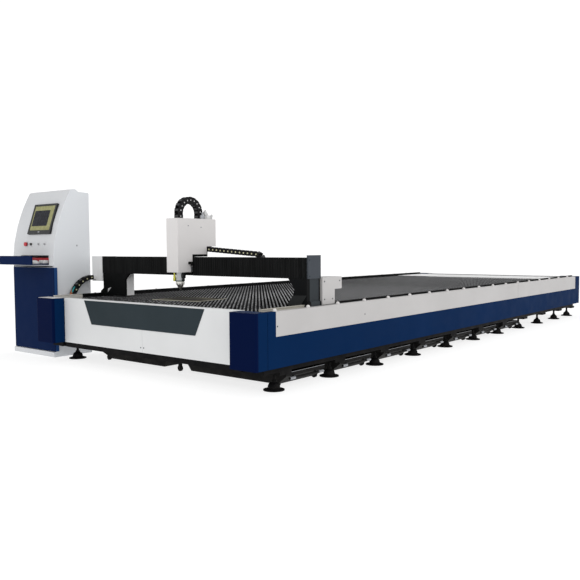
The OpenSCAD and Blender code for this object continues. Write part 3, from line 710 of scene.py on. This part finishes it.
# A black strip along the door's side and top stands for the shadow gap between door and cabinet:
# painted shade.
shade_strip_front, shade_top_front, shade_strip_back = lo.x + 0.014, lo.x + 0.020, lo.x + 0.0225
bm = bmesh.new()
for corner_lo, corner_hi in (
        ((shade_strip_front, hi.y + 0.007, lo.z), (shade_strip_back, hi.y + 0.019, hi.z + 0.012)),
        ((shade_top_front, lo.y + 0.05, hi.z + 0.001), (shade_strip_back, hi.y, hi.z + 0.011))):
    block(bm, corner_lo, corner_hi, edge=0.002, segments=1)
finish_piece(bm, "door_gap_painted_shade", rubber, "bed")
bm = bmesh.new()
rod(bm, at(0.415, 1.592, 1.19), at(0.415, 1.5885, 1.19), 0.009, segments=20)
finish_piece(bm, "console_side_screw", bare_grey, "bed")

# %% Keyboard with its keys
lo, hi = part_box("keyboard")
bm = bmesh.new()
block(bm, lo, (hi.x, hi.y, hi.z - 0.010), edge=0.004)
rows, columns, margin = 5, 15, 0.012
key_l, key_w, key_h = 0.020, 0.0215, 0.008
row_pitch, column_pitch = 0.0255, (hi.y - lo.y - 2 * margin) / columns
for row in range(rows):
    for column in range(columns):
        key = Vector((lo.x + margin + 0.002 + row * row_pitch,
                      lo.y + margin + 0.002 + column * column_pitch, hi.z - 0.011))
        block(bm, key, key + Vector((key_l, key_w, key_h)), edge=0.002, segments=1)
keys = finish_piece(bm, "keyboard_keys", cream_plastic, "tray")
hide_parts("keyboard")

# %% A red box, a white box and a mouse on the tray
tray_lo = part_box("keyboard_tray")[0]
tray_t, mouse_size = 0.012, (0.056, 0.031, 0.036)
on_tray = tray_lo + Vector((0, 0, tray_t))
f = Finish("red_box", (0.45, 0.02, 0.03), 0.6)
f.set("Base Color", f.mix(f.fit(f.noise(90, 3), 0.3, 0.7), (0.34, 0.012, 0.02),
                          (0.55, 0.03, 0.04)))
f.bump(f.noise(900, 1), 0.3, 0.0005)
for name, material, slot, corner, size in (
        ("red_box", f.material, "red_plastic", (0.255, 0.060, 0), (0.100, 0.360, 0.058)),
        ("white_box", light_plastic, "cream_plastic", (0.180, 0.070, 0), (0.065, 0.080, 0.035))):
    bm = bmesh.new()
    corner = on_tray + Vector(corner)
    block(bm, corner, corner + Vector(size), edge=0.002)
    finish_piece(bm, name, material, "tray")
bm = bmesh.new()
bmesh.ops.create_uvsphere(bm, u_segments=24, v_segments=12, radius=1.0)
bmesh.ops.scale(bm, vec=mouse_size, verts=bm.verts)
bmesh.ops.bisect_plane(bm, geom=bm.verts[:] + bm.edges[:] + bm.faces[:], plane_co=(0, 0, 0),
                       plane_no=(0, 0, -1), clear_outer=True)
bmesh.ops.holes_fill(bm, edges=[e for e in bm.edges if e.is_boundary])
bmesh.ops.translate(bm, vec=on_tray + Vector((0.11, 0.12, 0)), verts=bm.verts)
finish_piece(bm, "mouse", light_plastic, "tray")

# %% [markdown]
# ## Small parts on the bridge and the head
# The bridge carries a slanted plate on the right leg, a small gusset on the left one, and screws
# on its covers. The housing has a clamp, hose fittings and a bracket. Below it show the collar's
# grips, a ceramic ring, the nuts of the gas fitting and a sensor plug.

# %% Plates and screws on the legs and covers
leg_front, plate_t, plate_gap = 0.602, 0.004, 0.0002


def leg_plate(name, corners, material):
    """A flat plate on the front of a leg; corners are (y, z) from the bed's centre line."""
    bm = bmesh.new()
    face = bm.faces.new([bm.verts.new(at(leg_front - plate_gap - plate_t, y, z))
                         for y, z in corners])
    made = bmesh.ops.extrude_face_region(bm, geom=[face])["geom"]
    bmesh.ops.translate(bm, vec=(plate_t, 0, 0), verts=verts_in(made))
    finish_piece(bm, name, material, "gantry")


def screw_heads(bm, spots, face_y, radius, proud=0.0025):
    """Round heads on a face that looks to the right side of the bed; spots are (x, z)."""
    for x, z in spots:
        rod(bm, (x, face_y + 0.001, z), (x, face_y - proud, z), radius, segments=16)


leg_plate("right_leg_plate", ((-1.271, 0.745), (-1.416, 0.751), (-1.352, 0.662),
                              (-1.200, 0.662)), leg_plate_paint)
leg_plate("left_leg_gusset", ((1.300, 0.722), (1.245, 0.738), (1.305, 0.682)), light_plastic)
bm = bmesh.new()
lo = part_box("drive_cover_right")[0]
screw_heads(bm, [(lo.x + x, lo.z + z) for x, z in ((0.03, 0.045), (0.15, 0.045), (0.03, 0.200),
                                                   (0.26, 0.200))], lo.y, 0.006)
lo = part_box("gantry_cover_right")[0]
screw_heads(bm, [(lo.x + x, lo.z + z) for x in (0.02, 0.17) for z in (0.02, 0.16)], lo.y, 0.005)
finish_piece(bm, "gantry_screws", slate_paint, "gantry")

# %% Small parts on the housing's side
lo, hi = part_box("head_housing")
side_y = lo.y
bm = bmesh.new()
block(bm, (at_x(0.540), side_y - 0.020, 1.000), (at_x(0.585), side_y + 0.001, 1.026), edge=0.004)
rod(bm, (at_x(0.575), side_y - 0.012, 0.985), (at_x(0.575), side_y - 0.012, 1.004), 0.010)
rod(bm, (at_x(0.585), side_y - 0.010, 1.012), (at_x(0.602), side_y - 0.010, 1.012), 0.006,
    segments=16)
finish_piece(bm, "housing_clamp", rubber, "carriage")
bm = bmesh.new()
block(bm, (at_x(0.573), side_y - 0.004, 0.927), (at_x(0.594), side_y + 0.001, 0.980), edge=0.001,
      segments=1)
screw_heads(bm, ((at_x(0.548), 1.370), (at_x(0.716), 1.357)), side_y, 0.006, proud=0.003)
finish_piece(bm, "housing_side_fittings", bare_grey, "carriage")

# %% Hose fittings and a bracket on the housing's top
root_z, middle_y = hi.z - 0.001, (lo.y + hi.y) / 2
bm = bmesh.new()
block(bm, (at_x(0.842), middle_y - 0.030, root_z), (at_x(0.905), middle_y + 0.030, hi.z + 0.040),
      edge=0.004)
for x, y, height in ((0.795, -0.060, 0.070), (0.822, -0.020, 0.086), (0.856, 0.000, 0.094),
                     (0.886, 0.010, 0.068), (0.912, -0.030, 0.050)):
    foot = Vector((at_x(x), middle_y + y, hi.z))
    rod(bm, (foot.x, foot.y, root_z), foot + Vector((0, 0, height)), 0.007, segments=14)
    rod(bm, foot + Vector((0, 0, 0.55 * height)), foot + Vector((0, 0, 0.85 * height)), 0.013,
        segments=6)
finish_piece(bm, "housing_top_fittings", light_plastic, "carriage")
bm = bmesh.new()
bracket_y = side_y + 0.016
block(bm, (at_x(0.728), bracket_y - 0.010, root_z), (at_x(0.776), bracket_y + 0.010, hi.z + 0.034),
      edge=0.003)
rod(bm, (at_x(0.752), bracket_y, hi.z + 0.030), (at_x(0.752), bracket_y, hi.z + 0.062), 0.009,
    segments=16)
finish_piece(bm, "housing_top_bracket", bare_grey, "carriage")

# %% Collar and ring above the nozzle
lo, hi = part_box("nozzle")
nozzle_axis = Vector(((lo.x + hi.x) / 2, (lo.y + hi.y) / 2, 0))
ring_z0, ring_z1, ring_r, grip_count = 0.8362, 0.8455, 0.0425, 12
bm = bmesh.new()
turned(bm, [(0.0, ring_z0), (ring_r - 0.002, ring_z0), (ring_r, ring_z0 + 0.0018),
            (ring_r, ring_z1 - 0.0025), (ring_r - 0.002, ring_z1), (0.0, ring_z1)], nozzle_axis)
finish_piece(bm, "ceramic_ring", green_ring, "head")
bm = bmesh.new()
for turn in range(grip_count):
    grip = block(bm, (0.0402, -0.004, 0.805), (0.0420, 0.004, 0.828))
    around = Matrix.Rotation(math.tau * turn / grip_count, 4, "Z")
    bmesh.ops.transform(bm, verts=grip, matrix=Matrix.Translation(nozzle_axis) @ around)
finish_piece(bm, "collar_grips", nozzle_metal, "head")

# %% Gas fitting and sensor plug below the housing
lo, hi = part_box("head_fitting")
fitting = Vector(((lo.x + hi.x) / 2, (lo.y + hi.y) / 2, 0))
bm = bmesh.new()
turned(bm, [(0.0, 0.846), (0.0135, 0.846), (0.0150, 0.850), (0.0150, 0.866), (0.0135, 0.870),
            (0.0, 0.870)], fitting, segments=6)
turned(bm, [(0.0, 0.876), (0.0125, 0.876), (0.0125, 0.890), (0.0, 0.890)], fitting, segments=24)
rod(bm, fitting + Vector((0, 0, 0.918)), fitting + Vector((-0.004, 0.006, 0.952)), 0.012, 0.003)
finish_piece(bm, "fitting_nuts", brass, "head")
bm = bmesh.new()
block(bm, nozzle_axis + Vector((-0.018, -0.062, 0.868)),
      nozzle_axis + Vector((0.018, -0.034, 0.915)), edge=0.004)
rod(bm, nozzle_axis + Vector((0, -0.050, 0.876)), nozzle_axis + Vector((0, -0.053, 0.840)), 0.010,
    edge=0.002)
finish_piece(bm, "sensor_plug", black_plastic, "head")

# %% [markdown]
# ## Small parts on the panels and trolleys
# Screws and locks hold the panels. Each trolley has sleeves on its pull bar and bare, scuffed metal
# along the rims of its hoppers.

# %% Screws, locks, a seam and the trim on the left post
bm = bmesh.new()
lo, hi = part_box("side_upper_right")
screw_heads(bm, ((at_x(0.115), 0.540), (at_x(1.378), 0.539)), lo.y, 0.007, proud=0.0004)
for y in (-0.018, 0.024):
    rod(bm, at(0.001, y, 0.255), at(-0.0015, y, 0.255), 0.006, segments=16)
finish_piece(bm, "panel_screws", slate_paint, "bed")
bm = bmesh.new()
block(bm, (at_x(5.229), lo.y - 0.0004, lo.z + 0.002), (at_x(5.231), lo.y + 0.001, hi.z - 0.002))
finish_piece(bm, "side_panel_seam", slate_paint, "bed")
lo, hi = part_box("post_front_left")
bm = bmesh.new()
block(bm, (lo.x + 0.012, lo.y + 0.008, hi.z), (at_x(0), hi.y - 0.012, hi.z + 0.003), edge=0.001,
      segments=1)
finish_piece(bm, "post_top_trim", white_paint, "bed")

# %% Sleeves and rims on each trolley
pull_z, pull_r, sleeve_t = 0.076, 0.011, 0.0015
sleeve_in, sleeve_out = 0.165, 0.232
rim_z, rim_half = 0.125, Vector((0, 0.003, 0.0015))
rims_y = [at_y(y) for y in (-1.3875, -0.2025, 0.0775, 1.1275)]
for k in range(1, 8):
    lo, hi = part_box(f"scrap_trolley_{k}")
    middle_x, bar_y = (lo.x + hi.x) / 2, lo.y + pull_r
    bm = bmesh.new()
    for x0, x1 in ((-sleeve_out, -sleeve_in), (sleeve_in, sleeve_out)):
        rod(bm, (middle_x + x0, bar_y, pull_z), (middle_x + x1, bar_y, pull_z), pull_r + sleeve_t,
            segments=16, edge=0.001)
    finish_piece(bm, f"trolley_{k}_sleeves", grey_plastic, f"trolley_{k}")
    bm = bmesh.new()
    for y in rims_y:
        block(bm, Vector((lo.x + 0.004, y, rim_z)) - rim_half,
              Vector((hi.x - 0.004, y, rim_z)) + rim_half)
    finish_piece(bm, f"trolley_{k}_rims", bare_grey, f"trolley_{k}")

# %% [markdown]
# ## Stage
# A plain pale studio: one floor that rises far behind the machine on every side. The air above it
# looks white but lights the machine less, so that the shadows keep some depth.

# %% Floor and backdrop in one turned sheet
f = Finish("studio_floor", (0.35, 0.35, 0.35), 0.9, gloss=0.0)
f.set("Base Color", f.mix(f.fit(f.noise(0.3, 2), 0.3, 0.7), (0.34, 0.34, 0.34),
                          (0.36, 0.36, 0.36)))
f.set("Emission Color", (1.0, 1.0, 1.0))
f.set("Emission Strength", 0.78)
bm = bmesh.new()
turned(bm, [(0, 0), (6, 0), (22, 0), (24, 0.5), (25.5, 1.8), (26, 4), (26, 16)],
       Vector((0, 0, -0.002)), segments=64)
mesh = bpy.data.meshes.new("studio")
bm.to_mesh(mesh)
bm.free()
mesh.shade_smooth()
mesh.materials.append(f.material)
studio = bpy.data.objects.new("studio", mesh)
bpy.context.scene.collection.objects.link(studio)

# %% Camera
heading, down, roll = 38.7432, 3.497, -0.2898
camera = bpy.data.objects.new("camera", bpy.data.cameras.new("camera"))
camera.data.lens = 42.65
camera.data.clip_end = 200
camera.matrix_world = (Matrix.Translation((-7.9343, -5.3629, 1.1515))
                       @ Matrix.Rotation(math.radians(heading - 90), 4, "Z")
                       @ Matrix.Rotation(math.radians(90 - down), 4, "X")
                       @ Matrix.Rotation(math.radians(roll), 4, "Z"))
bpy.context.scene.collection.objects.link(camera)
bpy.context.scene.camera = camera

# %% Soft light
world = bpy.data.worlds.new("studio_air")
world.use_nodes = True
air_nodes, air_links = world.node_tree.nodes, world.node_tree.links
output = next(n for n in air_nodes if n.type == "OUTPUT_WORLD")
soft_air = next(n for n in air_nodes if n.type == "BACKGROUND")
white_air = air_nodes.new("ShaderNodeBackground")
for air, strength in ((soft_air, 0.55), (white_air, 1.0)):
    air.inputs["Color"].default_value = (1, 1, 1, 1)
    air.inputs["Strength"].default_value = strength
seen_or_lit = air_nodes.new("ShaderNodeMixShader")
air_links.new(air_nodes.new("ShaderNodeLightPath").outputs["Is Camera Ray"],
              seen_or_lit.inputs["Fac"])
air_links.new(soft_air.outputs["Background"], seen_or_lit.inputs[1])
air_links.new(white_air.outputs["Background"], seen_or_lit.inputs[2])
air_links.new(seen_or_lit.outputs["Shader"], output.inputs["Surface"])
bpy.context.scene.world = world
bpy.context.scene.view_settings.view_transform = "Standard"


def soft_light(name, place, target, size, power):
    """A square light panel that points at target."""
    lamp = bpy.data.lights.new(name, "AREA")
    lamp.shape, lamp.size, lamp.energy = "SQUARE", size, power
    obj = bpy.data.objects.new(name, lamp)
    place, target = Vector(place), Vector(target)
    obj.matrix_world = (Matrix.Translation(place)
                        @ (target - place).to_track_quat("-Z", "Y").to_matrix().to_4x4())
    bpy.context.scene.collection.objects.link(obj)


soft_light("key_light", (-11, -3, 9), (-1, 0, 0.5), 6, 170)
soft_light("side_light", (-1, -13, 6.5), (-1, 0, 0.7), 7, 345)
soft_light("top_light", (3, 2, 11), (0, 0, 0), 8, 150)
